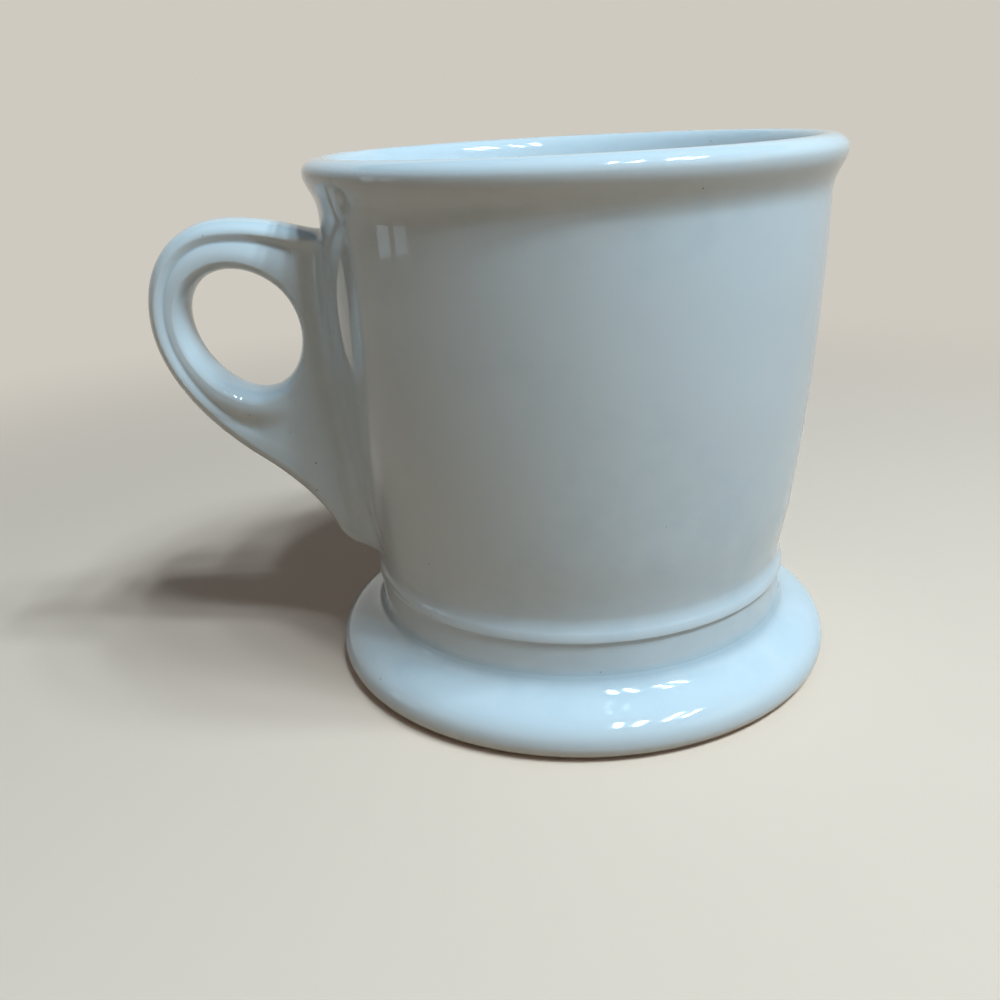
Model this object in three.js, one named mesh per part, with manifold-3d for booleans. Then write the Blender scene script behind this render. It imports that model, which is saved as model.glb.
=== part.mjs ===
// A footed coffee mug in white glazed stoneware, with a grooved ring handle.
// The cup, the foot and the handle are separate clay bodies, joined with slip.
// Millimetres, +Z up. The mug stands on z = 0 and its handle points to -X.
import * as THREE from 'three';
import { LoftGeometry } from 'three/addons/geometries/LoftGeometry.js';
import { mergeVertices } from 'three/addons/utils/BufferGeometryUtils.js';
import Module from 'manifold-3d';

// Foot: a bell-shaped disc that stands on a ring.
const FOOT_RADIUS = 45.75;
const FOOT_HEIGHT = 10.5;
const FOOT_WIDEST_HEIGHT = 2.4; // height of the widest line above the table
const FOOT_UNDERCUT = 2.75; // how far the rounded lower edge draws in
const BELL_DROP = 2.6; // steep start of the bell below the collar
const BELL_DRIFT = 0.65; // how far that start moves outwards
const BELL_SHOULDER = 3; // height of the round shoulder above the widest line
const FOOT_RING_WIDTH = 5.5; // flat ring that the mug stands on
const RECESS_DEPTH = 3; // hollow inside that ring
const RECESS_SLOPE = 2.5; // radial width of the hollow's sloping edge

// Cup: collar, ledge, bowed wall and rolled lip, from the bottom up.
const COLLAR_RADIUS = 37.5;
const COLLAR_HEIGHT = 6;
const COLLAR_HOLLOW = 0.8; // depth of the concave band round the collar
const LEDGE_ROUND = 0.5;
const FLARE_HEIGHT = 4;
const WALL_BOTTOM_RADIUS = 37.45;
const WALL_TOP_RADIUS = 42.1;
const WALL_HEIGHT = 60.2;
const WALL_BOW = 1.05; // how far the wall swells beyond a straight taper
const LIP_HEIGHT = 8.8; // from the top of the wall to the rim
const LIP_RADIUS = 44.1;
const LIP_DROP = 2.2; // from the rim down to the lip's widest line
const LIP_CREST_RADIUS = 41.1;
const WALL_THICKNESS = 4.2;
const FLOOR_THICKNESS = 5;
const FLOOR_ROUND = 9; // inside corner between wall and floor

// Handle: a ring round an egg-shaped finger hole, a web against the wall and a tail.
// Stand-offs are from the wall, drops from the rim and rises from the ledge.
const RING_TOP_STAND_OFF = 17.5; // highest point of the ring
const RING_TOP_DROP = 8.8;
const RING_SIDE_STAND_OFF = 32.3; // outermost point of the ring
const RING_SIDE_DROP = 25;
const RING_FULLNESS = 0.6; // 0.55 would be an ellipse
const TOP_ROOT_DROP = 13.1; // where the top of the handle enters the wall
const HOLE_STAND_OFF = 16; // middle of the finger hole
const HOLE_DROP = 27.7;
const HOLE_HALF_WIDTH = 9.3;
const HOLE_HALF_HEIGHT = 10.5;
const HOLE_SWELL = 0.7; // wider above its middle than below
const HOLE_LEAN = 0.15; // outwards per unit of height
const WAIST_STAND_OFF = 17.4; // where the ring's swell turns into the tail's hollow
const WAIST_RISE = 22;
const WAIST_SLOPE = THREE.MathUtils.degToRad(37);
const HEEL_STAND_OFF = 7.3;
const HEEL_RISE = 7.6;
const HEEL_SLOPE = THREE.MathUtils.degToRad(70);
const TAIL_RISE = 2.5; // underside of the tail
const HANDLE_HALF_THICKNESS = 5;
const WEB_HALF_THICKNESS = 4.4;
const TAIL_HALF_THICKNESS = 3.4;
const GROOVE_DEPTH = 1.3;
const GROOVE_MIDDLE = THREE.MathUtils.degToRad(17); // where the groove's run is centred
const GROOVE_WIDTH = 3.3;
const EDGE_ROUND = 2; // width of the rounded outer edge
const HOLE_ROUND = 2.8; // width of the rounded edge of the hole
const ROOT_FILLET = 3.6; // height of the hollow fillet where the handle meets the wall
const ROOT_SWELL = 2.2; // how far that fillet widens each face

// Joints.
const SLIP_THICKNESS = 0.5;
const SLIP_SETBACK = 0.3; // foot joint behind the collar's face
const CLEARANCE = 0.3; // between pieces that meet on a curved face

// Facets.
const ROUND_FACETS = 64;
const HANDLE_STEPS = 68; // round the handle's outline
const FACE_STEPS = 7; // across its face
const EDGE_STEPS = 3; // round each edge

const GLAZE = { color: 0xeef2f2, roughness: 0.12, metalness: 0 };
const SLIP_CLAY = { color: 0xe6e4dc, roughness: 0.5, metalness: 0 };

// Levels, worked out from the sizes above.
const cupBottom = FOOT_HEIGHT + SLIP_THICKNESS;
const ledgeLevel = cupBottom + COLLAR_HEIGHT;
const wallBottom = ledgeLevel + FLARE_HEIGHT;
const wallTop = wallBottom + WALL_HEIGHT;
const rimLevel = wallTop + LIP_HEIGHT;
const floorLevel = cupBottom + FLOOR_THICKNESS;
const handleGap = CLEARANCE + SLIP_THICKNESS + CLEARANCE;

const at = (x, y) => new THREE.Vector2(x, y);

// The wall's outside radius at any level between the flare and the lip.
function wallRadius(level) {
  const share = (level - wallBottom) / WALL_HEIGHT;
  const taper = THREE.MathUtils.lerp(WALL_BOTTOM_RADIUS, WALL_TOP_RADIUS, share);
  return taper + 4 * WALL_BOW * share * (1 - share);
}

// The wall's lean, in radius per unit of height, at a share of its height.
function wallLean(share) {
  const taper = WALL_TOP_RADIUS - WALL_BOTTOM_RADIUS;
  return (taper + 4 * WALL_BOW * (1 - 2 * share)) / WALL_HEIGHT;
}

// Outside profile of the cup from the collar's foot to the top of the rim.
function cupOutside() {
  const profile = new THREE.Path();
  profile.moveTo(COLLAR_RADIUS, cupBottom);
  profile.quadraticCurveTo(
    COLLAR_RADIUS - 2 * COLLAR_HOLLOW, cupBottom + COLLAR_HEIGHT / 2,
    COLLAR_RADIUS, ledgeLevel - LEDGE_ROUND,
  );
  profile.quadraticCurveTo(
    COLLAR_RADIUS + LEDGE_ROUND / 4, ledgeLevel,
    COLLAR_RADIUS, ledgeLevel + LEDGE_ROUND,
  );
  const flareFoot = wallBottom - FLARE_HEIGHT / 2;
  profile.quadraticCurveTo(
    WALL_BOTTOM_RADIUS - wallLean(0) * (wallBottom - flareFoot), flareFoot,
    WALL_BOTTOM_RADIUS, wallBottom,
  );
  const points = sampled(profile, [6, 2, 4]);
  const wallSteps = 8;
  for (let i = 1; i <= wallSteps; i++) {
    const level = wallBottom + (WALL_HEIGHT * i) / wallSteps;
    points.push(at(wallRadius(level), level));
  }
  const lip = new THREE.Path();
  const widest = rimLevel - LIP_DROP;
  const cove = LIP_HEIGHT - LIP_DROP;
  lip.moveTo(WALL_TOP_RADIUS, wallTop);
  lip.bezierCurveTo(
    WALL_TOP_RADIUS + wallLean(1) * cove / 2, wallTop + cove / 2,
    LIP_RADIUS, widest - cove / 3,
    LIP_RADIUS, widest,
  );
  lip.absellipse(LIP_CREST_RADIUS, widest, LIP_RADIUS - LIP_CREST_RADIUS, LIP_DROP, 0, Math.PI / 2, false);
  points.push(...sampled(lip, [5, 5]).slice(1));
  return points;
}

// Inside profile of the cup from the top of the rim to the middle of the floor.
function cupInside() {
  const inner = (level) => wallRadius(level) - WALL_THICKNESS;
  const profile = new THREE.Path();
  const cornerTop = floorLevel + FLOOR_ROUND;
  profile.moveTo(LIP_CREST_RADIUS, rimLevel);
  profile.bezierCurveTo(
    (LIP_CREST_RADIUS + inner(wallTop)) / 2, rimLevel,
    inner(wallTop), rimLevel - LIP_HEIGHT / 3,
    inner(wallTop), wallTop,
  );
  const points = sampled(profile, [6]).slice(1);
  const steps = 4;
  for (let i = 1; i <= steps; i++) {
    const level = THREE.MathUtils.lerp(wallTop, cornerTop, i / steps);
    points.push(at(inner(level), level));
  }
  const corner = new THREE.Path();
  const cornerRadius = inner(cornerTop);
  corner.moveTo(cornerRadius, cornerTop);
  corner.bezierCurveTo(
    cornerRadius, floorLevel + FLOOR_ROUND / 2,
    cornerRadius - FLOOR_ROUND / 2, floorLevel,
    cornerRadius - FLOOR_ROUND, floorLevel,
  );
  points.push(...sampled(corner, [5]).slice(1));
  points.push(at(0, floorLevel));
  return points;
}

// Foot profile from the middle of its underside round to the middle of its top.
function footProfile() {
  const ringOutside = FOOT_RADIUS - FOOT_UNDERCUT;
  const ringInside = ringOutside - FOOT_RING_WIDTH;
  const profile = new THREE.Path();
  profile.moveTo(0, RECESS_DEPTH);
  profile.lineTo(ringInside - RECESS_SLOPE, RECESS_DEPTH);
  profile.quadraticCurveTo(ringInside - RECESS_SLOPE / 4, RECESS_DEPTH, ringInside, 0);
  profile.lineTo(ringOutside, 0);
  profile.absellipse(
    ringOutside, FOOT_WIDEST_HEIGHT,
    FOOT_UNDERCUT, FOOT_WIDEST_HEIGHT,
    -Math.PI / 2, 0, false,
  );
  profile.bezierCurveTo(
    FOOT_RADIUS, FOOT_WIDEST_HEIGHT + BELL_SHOULDER,
    COLLAR_RADIUS + BELL_DRIFT, FOOT_HEIGHT - BELL_DROP,
    COLLAR_RADIUS, FOOT_HEIGHT,
  );
  profile.lineTo(0, FOOT_HEIGHT);
  return sampled(profile, [1, 3, 1, 5, 10, 1]);
}

// Points along a path, with a chosen number of steps on each of its curves.
function sampled(path, steps) {
  const points = [path.curves[0].getPoint(0)];
  path.curves.forEach((curve, i) => {
    for (let k = 1; k <= steps[Math.min(i, steps.length - 1)]; k++) {
      points.push(curve.getPoint(k / steps[Math.min(i, steps.length - 1)]));
    }
  });
  return points;
}

// A solid of revolution about Z from a profile of radius and height.
function revolved(points) {
  return new THREE.LatheGeometry(points, ROUND_FACETS).rotateX(Math.PI / 2);
}

const wasm = await Module();
wasm.setup();

// A closed geometry as a solid for joining and cutting.
function solidOf(geometry) {
  const bare = new THREE.BufferGeometry();
  bare.setAttribute('position', geometry.attributes.position);
  bare.setIndex(geometry.index);
  const merged = mergeVertices(bare);
  const index = merged.index.array;
  const triangles = [];
  for (let i = 0; i < index.length; i += 3) {
    const [a, b, c] = [index[i], index[i + 1], index[i + 2]];
    if (a !== b && b !== c && c !== a) triangles.push(a, b, c);
  }
  return new wasm.Manifold(new wasm.Mesh({
    numProp: 3,
    vertProperties: new Float32Array(merged.attributes.position.array),
    triVerts: new Uint32Array(triangles),
  }));
}

// A cut solid as a geometry again.
function geometryOf(solid) {
  const mesh = solid.getMesh();
  const geometry = new THREE.BufferGeometry();
  geometry.setAttribute('position', new THREE.BufferAttribute(mesh.vertProperties, 3));
  geometry.setIndex(new THREE.BufferAttribute(mesh.triVerts, 1));
  geometry.computeVertexNormals();
  return geometry;
}

// The cup's outside as a full solid, grown by a gap, for cutting what sits against the wall.
function cupCutter(gap) {
  const outside = cupOutside();
  const grown = outside.map((point) => at(point.x + gap, point.y));
  return solidOf(revolved([at(0, cupBottom), ...grown, at(0, rimLevel)]));
}

// Places on the handle, as distance from the mug's axis and height.
const wallMiddle = wallRadius((wallBottom + wallTop) / 2);
const ringTop = at(wallMiddle + RING_TOP_STAND_OFF, rimLevel - RING_TOP_DROP);
const ringSide = at(wallMiddle + RING_SIDE_STAND_OFF, rimLevel - RING_SIDE_DROP);
const holeCentre = at(wallMiddle + HOLE_STAND_OFF, rimLevel - HOLE_DROP);
const besideWall = (standOff, level) => at(wallRadius(level) + standOff, level);
const waist = besideWall(WAIST_STAND_OFF, ledgeLevel + WAIST_RISE);
const heel = besideWall(HEEL_STAND_OFF, ledgeLevel + HEEL_RISE);
const tailLevel = ledgeLevel + TAIL_RISE;

// Side outline of the handle: top root, ring, waist, heel and tail, closed inside the wall.
function handleOutline() {
  const buried = WALL_BOTTOM_RADIUS - 2 * WALL_THICKNESS;
  const root = besideWall(-WALL_THICKNESS, rimLevel - TOP_ROOT_DROP);
  const away = (from, angle, length) => [
    from.x + Math.cos(angle) * length,
    from.y + Math.sin(angle) * length,
  ];
  const path = new THREE.Path();
  path.moveTo(buried, root.y);
  path.lineTo(root.x, root.y);
  const top = ringTop.x - root.x;
  path.bezierCurveTo(
    root.x + top * 0.4, root.y + (ringTop.y - root.y) * 0.6,
    ringTop.x - top * 0.3, ringTop.y,
    ringTop.x, ringTop.y,
  );
  path.bezierCurveTo(
    THREE.MathUtils.lerp(ringTop.x, ringSide.x, RING_FULLNESS), ringTop.y,
    ringSide.x, THREE.MathUtils.lerp(ringSide.y, ringTop.y, RING_FULLNESS),
    ringSide.x, ringSide.y,
  );
  const run = ringSide.distanceTo(waist);
  path.bezierCurveTo(
    ringSide.x, ringSide.y - run * 0.36,
    ...away(waist, WAIST_SLOPE, run * 0.26),
    waist.x, waist.y,
  );
  const shank = waist.distanceTo(heel);
  path.bezierCurveTo(
    ...away(waist, WAIST_SLOPE, -shank * 0.27),
    ...away(heel, HEEL_SLOPE, shank * 0.32),
    heel.x, heel.y,
  );
  const toe = heel.y - tailLevel;
  path.bezierCurveTo(
    ...away(heel, HEEL_SLOPE, -toe * 0.6),
    heel.x - HEEL_STAND_OFF * 0.6, tailLevel,
    heel.x - HEEL_STAND_OFF * 1.3, tailLevel,
  );
  path.lineTo(buried, tailLevel);
  path.closePath();
  return path;
}

// Edge of the finger hole towards a direction from its middle, and its outward normal there.
function holeEdge(direction) {
  const upright = direction.x - HOLE_LEAN * direction.y;
  const turn = Math.atan2(direction.y / HOLE_HALF_HEIGHT, upright / HOLE_HALF_WIDTH);
  const [sin, cos] = [Math.sin(turn), Math.cos(turn)];
  const half = HOLE_HALF_WIDTH + HOLE_SWELL * sin;
  const rise = HOLE_HALF_HEIGHT * sin;
  const slope = at(
    HOLE_LEAN * HOLE_HALF_HEIGHT * cos + HOLE_SWELL * cos * cos - half * sin,
    HOLE_HALF_HEIGHT * cos,
  );
  return {
    point: at(holeCentre.x + HOLE_LEAN * rise + half * cos, holeCentre.y + rise),
    normal: at(slope.y, -slope.x).normalize(),
  };
}

// How far the root's hollow fillet widens a face at a point of the side outline.
function rootSwell(point) {
  const clear = point.x - wallRadius(point.y) - handleGap;
  const left = 1 - THREE.MathUtils.clamp(clear / ROOT_FILLET, 0, 1);
  return ROOT_SWELL * left * left;
}

// One section of the handle, from the outer edge to the hole and back on the other face.
function handleSection(outer, inward) {
  const direction = outer.clone().sub(holeCentre);
  const edge = holeEdge(direction);
  const width = outer.distanceTo(edge.point);
  // The groove is full round the ring and fades into the web and the tail.
  const ringShare = THREE.MathUtils.smoothstep(Math.cos(direction.angle() - GROOVE_MIDDLE), -0.35, 0.25);
  const tailShare = THREE.MathUtils.smoothstep(outer.y, tailLevel, holeCentre.y - HOLE_HALF_HEIGHT);
  const innerFace = THREE.MathUtils.lerp(WEB_HALF_THICKNESS, HANDLE_HALF_THICKNESS, ringShare);
  const outerFace = THREE.MathUtils.lerp(TAIL_HALF_THICKNESS, innerFace, tailShare);
  const outerRound = Math.min(EDGE_ROUND, 0.27 * width);
  const innerRound = Math.min(HOLE_ROUND, 0.3 * width);
  const outerCrest = outer.clone().addScaledVector(inward, outerRound);
  const innerCrest = edge.point.clone().addScaledVector(edge.normal, innerRound);
  const faceWidth = outerCrest.distanceTo(innerCrest);

  const front = [];
  for (let i = 0; i < EDGE_STEPS; i++) {
    const turn = (i / EDGE_STEPS) * (Math.PI / 2);
    const depth = outerRound * (1 - Math.cos(turn));
    front.push([outer.clone().addScaledVector(inward, depth), outerFace * Math.sin(turn)]);
  }
  for (let i = 0; i <= FACE_STEPS; i++) {
    const share = faceShare(i / FACE_STEPS, outerCrest, innerCrest);
    const across = Math.min(1, (share * faceWidth) / Math.min(GROOVE_WIDTH, faceWidth));
    const groove = GROOVE_DEPTH * ringShare * (1 - Math.cos(2 * Math.PI * across)) / 2;
    const face = THREE.MathUtils.lerp(outerFace, innerFace, share);
    front.push([outerCrest.clone().lerp(innerCrest, share), face - groove]);
  }
  for (let i = EDGE_STEPS - 1; i >= 0; i--) {
    const turn = (i / EDGE_STEPS) * (Math.PI / 2);
    const depth = innerRound * (1 - Math.cos(turn));
    front.push([edge.point.clone().addScaledVector(edge.normal, depth), innerFace * Math.sin(turn)]);
  }
  const swollen = front.map(([point, half]) => [point, half * (1 + rootSwell(point) / WEB_HALF_THICKNESS)]);
  const ring = swollen.map(([point, half]) => new THREE.Vector3(-point.x, half, point.y));
  const otherFace = swollen.slice(1, -1).reverse();
  const back = otherFace.map(([point, half]) => new THREE.Vector3(-point.x, -half, point.y));
  return [...ring, ...back];
}

// Share of the way across the handle's face. Beside the wall the steps close up, to follow the root's fillet.
function faceShare(step, outerCrest, innerCrest) {
  const start = outerCrest.x - wallRadius(outerCrest.y);
  const end = innerCrest.x - wallRadius(innerCrest.y);
  if (start > 0 || step === 0) return step;
  const reach = THREE.MathUtils.clamp(end, handleGap, handleGap + ROOT_FILLET);
  return step === 1 ? 1 : (reach * step ** 2 - start) / (end - start);
}

// The whole handle before it is cut to the wall.
function handleBlank() {
  const points = handleOutline().getSpacedPoints(HANDLE_STEPS).slice(0, HANDLE_STEPS);
  const sections = points.map((point, i) => {
    const next = points[(i + 1) % HANDLE_STEPS];
    const last = points[(i + HANDLE_STEPS - 1) % HANDLE_STEPS];
    const along = next.clone().sub(last);
    return handleSection(point, at(along.y, -along.x).normalize());
  });
  return solidOf(new LoftGeometry([...sections, sections[0]]));
}

// The pieces. The slip lies between the wall and the handle's back, with the clearance on both sides.
const handleSolid = handleBlank().subtract(cupCutter(handleGap));
const handleSlip = handleBlank().intersect(cupCutter(handleGap - CLEARANCE)).subtract(cupCutter(CLEARANCE));
const footSlip = [
  at(0, FOOT_HEIGHT),
  at(COLLAR_RADIUS - SLIP_SETBACK, FOOT_HEIGHT),
  at(COLLAR_RADIUS - SLIP_SETBACK, cupBottom),
  at(0, cupBottom),
];

const mug = new THREE.Group();
function add(name, geometry, finish) {
  const mesh = new THREE.Mesh(geometry, new THREE.MeshStandardMaterial(finish));
  mesh.name = name;
  mug.add(mesh);
}
add('cup_body', revolved([at(0, cupBottom), ...cupOutside(), ...cupInside()]), GLAZE);
add('foot', revolved(footProfile()), GLAZE);
add('handle', geometryOf(handleSolid), GLAZE);
add('foot_slip_joint', revolved(footSlip), SLIP_CLAY);
add('handle_slip_joint', geometryOf(handleSlip), SLIP_CLAY);

// The origin is under the middle of the mug and its handle together.
mug.position.x = (ringSide.x - FOOT_RADIUS) / 2;

export default mug;
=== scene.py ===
import math

import bmesh
import bpy
from bpy.props import FloatProperty, FloatVectorProperty, IntProperty, PointerProperty
from bpy.types import Operator, Panel, PropertyGroup
from mathutils import Matrix, Vector
from mathutils.geometry import interpolate_bezier


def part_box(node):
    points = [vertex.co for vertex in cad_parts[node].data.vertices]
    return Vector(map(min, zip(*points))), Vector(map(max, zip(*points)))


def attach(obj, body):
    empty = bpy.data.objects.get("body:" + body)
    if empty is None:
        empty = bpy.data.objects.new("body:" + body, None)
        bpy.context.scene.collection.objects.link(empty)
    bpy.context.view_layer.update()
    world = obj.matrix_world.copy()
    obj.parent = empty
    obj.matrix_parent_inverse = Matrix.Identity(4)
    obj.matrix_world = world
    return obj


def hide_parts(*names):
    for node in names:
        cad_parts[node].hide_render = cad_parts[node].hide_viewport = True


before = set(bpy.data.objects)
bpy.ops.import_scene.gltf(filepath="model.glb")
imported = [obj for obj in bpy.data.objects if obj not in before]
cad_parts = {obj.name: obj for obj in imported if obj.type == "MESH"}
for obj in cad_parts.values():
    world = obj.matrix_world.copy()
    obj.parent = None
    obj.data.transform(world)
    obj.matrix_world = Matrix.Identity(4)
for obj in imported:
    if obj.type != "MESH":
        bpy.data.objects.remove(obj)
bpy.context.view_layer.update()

bl_info = {
    "name": "Footed coffee mug",
    "version": (1, 0, 0),
    "blender": (4, 5, 0),
    "location": "View3D > Sidebar > Mug",
    "description": "Builds a white glazed mug with a bell foot and a grooved ring handle",
    "category": "Add Mesh",
}

MM = 0.001
CUP_LOW, CUP_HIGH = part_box("cup_body")
FOOT_LOW, FOOT_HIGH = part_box("foot")
SLIP_LOW, SLIP_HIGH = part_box("foot_slip_joint")
HANDLE_LOW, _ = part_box("handle")
AXIS_X = (FOOT_LOW.x + FOOT_HIGH.x) / 2
CREASE = (CUP_LOW.z + FOOT_HIGH.z) / 2  # height of the crease between collar and foot
ROUND_CURVE = 0.5523  # share of a Bezier handle that makes a quarter circle
SAME_SPOT = 1e-6  # points closer than this become one


# Sizes and colours that a user would change


def length(name, description, millimetres):
    return FloatProperty(
        name=name, description=description, default=millimetres * MM, unit="LENGTH", precision=5
    )


def power(name, description, watts):
    return FloatProperty(name=name, description=description, default=watts, min=0.0, unit="POWER")


def tint(name, description, colour):
    return FloatVectorProperty(
        name=name, description=description, default=colour, size=3,
        min=0.0, max=1.0, subtype="COLOR",
    )


class MugCupSizes(PropertyGroup):
    """Sizes of the cup, its collar, wall and lip."""

    collar_radius: length("Collar radius", "Radius of the upright collar under the ledge", 37.37)
    collar_height: length("Collar height", "From the cup's underside to the ledge", 6.0)
    collar_spread: length(
        "Collar spread", "How far the collar's lower edge spreads towards the foot", 0.17
    )
    collar_cove: length("Collar cove", "Height of the hollow curve at the collar's lower edge", 1.4)
    ledge_reach: length("Ledge reach", "How far the ledge's edge stands out from the collar", 0.42)
    ledge_crown: length("Ledge crown", "Height of the rounded edge above the ledge", 1.5)
    flare_height: length("Flare height", "From the ledge to the lower end of the wall", 4.0)
    flare_gain: length("Flare gain", "How far the flare moves outwards", 0.82)
    neck_depth: length("Neck depth", "How far the wall draws in above the flare", 0.35)
    neck_height: length("Neck height", "How far up the wall begins to draw in", 11.0)
    wall_bottom_radius: length("Wall radius below", "Outside radius at the wall's lower end", 37.45)
    wall_top_radius: length("Wall radius above", "Outside radius at the wall's upper end", 42.1)
    wall_bow: length("Wall bow", "How far the wall swells beyond a straight taper", 1.05)
    lip_height: length("Lip height", "From the top of the wall to the rim", 8.8)
    lip_radius: length("Lip radius", "Radius of the lip's widest line", (CUP_HIGH.x - AXIS_X) / MM)
    lip_drop: length("Lip drop", "From the rim down to the lip's widest line", 2.2)
    lip_crest: length("Lip crest", "Radius of the rim's highest line", 41.1)
    thickness: length("Wall thickness", "Thickness of the wall", 4.2)
    floor_thickness: length("Floor thickness", "Thickness of the cup's floor", 5.0)
    floor_round: length("Floor round", "Inside corner between wall and floor", 9.0)
    turns: IntProperty(
        name="Steps round", description="Steps of the turned pieces", default=256, min=24
    )


class MugFootSizes(PropertyGroup):
    """Sizes of the bell-shaped foot."""

    radius: length("Foot radius", "Radius of the foot's widest line", (FOOT_HIGH.x - AXIS_X) / MM)
    widest_height: length("Widest height", "Height of the widest line above the table", 2.6)
    undercut: length("Undercut", "How far the rounded lower edge draws in", 2.75)
    bell_drop: length("Bell drop", "Steep start of the bell below the collar", 3.8)
    bell_drift: length("Bell drift", "How far that start moves outwards", 1.24)
    bell_shoulder: length("Bell shoulder", "Height of the shoulder above the widest line", 5.0)
    top_spread: length("Top spread", "How far the bell's top spreads beyond the collar", 0.35)
    ring_width: length("Ring width", "Width of the flat ring that the mug stands on", 5.5)
    recess_depth: length("Recess depth", "Depth of the hollow underneath", 3.0)
    recess_slope: length("Recess slope", "Width of the hollow's sloping edge", 2.5)


class MugHandleSizes(PropertyGroup):
    """Sizes of the ring handle, measured from the wall, the rim and the ledge."""

    ring_top_out: length("Ring top out", "Ring's highest point from the wall", 17.5)
    ring_top_drop: length("Ring top drop", "Ring's highest point below the rim", 8.8)
    ring_reach: length(
        "Ring reach", "Ring's outermost point from the mug's axis", (AXIS_X - HANDLE_LOW.x) / MM
    )
    ring_side_drop: length("Ring side drop", "Ring's outermost point below the rim", 25.0)
    root_drop: length("Root drop", "Where the top enters the wall, below the rim", 13.1)
    hole_out: length("Hole out", "Middle of the finger hole from the wall", 16.0)
    hole_drop: length("Hole drop", "Middle of the finger hole below the rim", 27.7)
    hole_half_width: length("Hole half width", "Half the finger hole's width", 9.3)
    hole_half_height: length("Hole half height", "Half the finger hole's height", 10.5)
    hole_swell: length("Hole swell", "How much wider the hole is above its middle", 0.7)
    waist_out: length("Waist out", "Where the ring turns into the tail, from the wall", 17.4)
    waist_rise: length("Waist rise", "The same place above the ledge", 22.0)
    heel_out: length("Heel out", "Outer edge of the tail's end from the wall", 7.3)
    heel_rise: length("Heel rise", "The same place above the ledge", 7.6)
    tail_rise: length("Tail rise", "Underside of the tail above the ledge", 1.0)
    web_half: length("Web half thickness", "Half the thickness of the web and the groove", 3.9)
    tail_half: length("Tail half thickness", "Half the thickness at the tail's end", 3.3)
    outer_ridge: length("Outer ridge", "How far the outer ridge stands above the groove", 1.05)
    outer_crest: length("Outer crest", "Ridge's highest line from the outer edge", 1.7)
    outer_foot: length("Outer ridge foot", "Where the outer ridge ends, from the outer edge", 3.6)
    inner_ridge: length("Inner ridge", "How far the ridge round the hole stands above the web", 1.4)
    inner_crest: length("Inner crest", "Ridge's highest line from the hole's edge", 2.3)
    inner_foot: length("Inner ridge foot", "Where the inner ridge ends, from the hole's edge", 6.4)
    outer_round: length("Outer round", "Width of the rounded outer edge", 2.1)
    hole_round: length("Hole round", "Width of the rounded edge of the hole", 1.8)
    root_fillet: length("Root fillet", "Hollow fillet between the handle's faces and the wall", 4.4)
    root_spread: FloatProperty(
        name="Root spread", description="Width of the root fillet for its depth",
        default=2.5, min=1.0, max=5.0, subtype="FACTOR",
    )
    root_edge_fillet: length("Root edge fillet", "The same fillet above the handle", 1.0)
    root_toe: length("Root toe", "How far the tail's underside falls towards the wall", 3.0)


class MugGlazeLook(PropertyGroup):
    """Colours and finish of the glaze and the clay."""

    glaze: tint("Glaze", "Colour of the glaze on the open faces", (0.74, 0.81, 0.85))
    # The colour for hollows is darker than glaze that has run together: it also paints the shade in
    # hollows, creases and the handle's groove.
    pooled_and_shade: tint("Pooled glaze", "Colour where the glaze has run together", (0.54, 0.66, 0.73))
    thin: tint("Thin glaze", "Colour where the glaze has run off an edge", (0.79, 0.82, 0.82))
    speck: tint("Specks", "Colour of the small specks in the glaze", (0.20, 0.18, 0.15))
    clay: tint("Clay", "Colour of the bare clay", (0.62, 0.56, 0.47))
    roughness: FloatProperty(
        name="Roughness", description="Roughness of the glaze",
        default=0.055, min=0.0, max=1.0, subtype="FACTOR",
    )


class MugStageLook(PropertyGroup):
    """Colours and strengths of the floor and the lights."""

    floor: tint("Floor", "Colour of the floor", (0.97, 0.73, 0.58))
    bounce: tint("Bounce", "Colour of the light that the floor sends back", (0.44, 0.28, 0.18))
    backdrop: tint("Backdrop", "Colour of the far backdrop", (0.62, 0.59, 0.53))
    sky: tint("Sky", "Colour of the soft light from above", (0.64, 0.86, 1.0))
    horizon: tint("Horizon", "Colour of the soft light from the sides", (1.0, 0.88, 0.76))
    key: power("Key", "Power of the panes above", 5.9)
    side: power("Side", "Power of the light at the right", 0.7)
    strip: power("Strip", "Power of the strips at the left", 0.065)
    fill: FloatProperty(
        name="Fill", description="Strength of the light from all round",
        default=0.19, min=0.0, max=1.0, subtype="FACTOR",
    )


class MugSettings(PropertyGroup):
    """All settings of the mug."""

    cup: PointerProperty(type=MugCupSizes)
    foot: PointerProperty(type=MugFootSizes)
    handle: PointerProperty(type=MugHandleSizes)
    glaze: PointerProperty(type=MugGlazeLook)
    stage: PointerProperty(type=MugStageLook)


# Curves and turned pieces

POOL_RADIUS = 1.0 * MM  # round of a hollow that the glaze nearly fills
CREASE_POOL_AND_SHADE = 0.8  # how much the crease over the foot is filled with glaze and painted shade
CREASE_SHADE_FADE = (0.3 * MM, 1.8 * MM)  # where that painted shade begins to fade, and where it has gone
DEPTH_ROUNDS = 2  # rounds of smoothing of the glaze's depth
DRY_HEIGHT = 0.05 * MM  # the foot is bare clay below this height


def place(radius, level):
    """A point of a profile, by its distance from the mug's axis and its height."""
    return Vector((AXIS_X + radius, 0.0, level))


def curve(start, first, second, end, steps):
    """Points along a Bezier curve, without its start."""
    return interpolate_bezier(start, first, second, end, steps + 1)[1:]


def corner(start, tip, end, steps, pull=2 / 3):
    """Points along a curve that turns near a tip, without its start."""
    return curve(start, start.lerp(tip, pull), end.lerp(tip, pull), end, steps)


def clamp(value):
    return min(1.0, max(0.0, value))


def blend(low, high, value):
    """Smooth step from 0 at the low value to 1 at the high one."""
    share = clamp((value - low) / (high - low))
    return share * share * (3 - 2 * share)


def mix(start, end, share):
    return start + (end - start) * share


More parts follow.
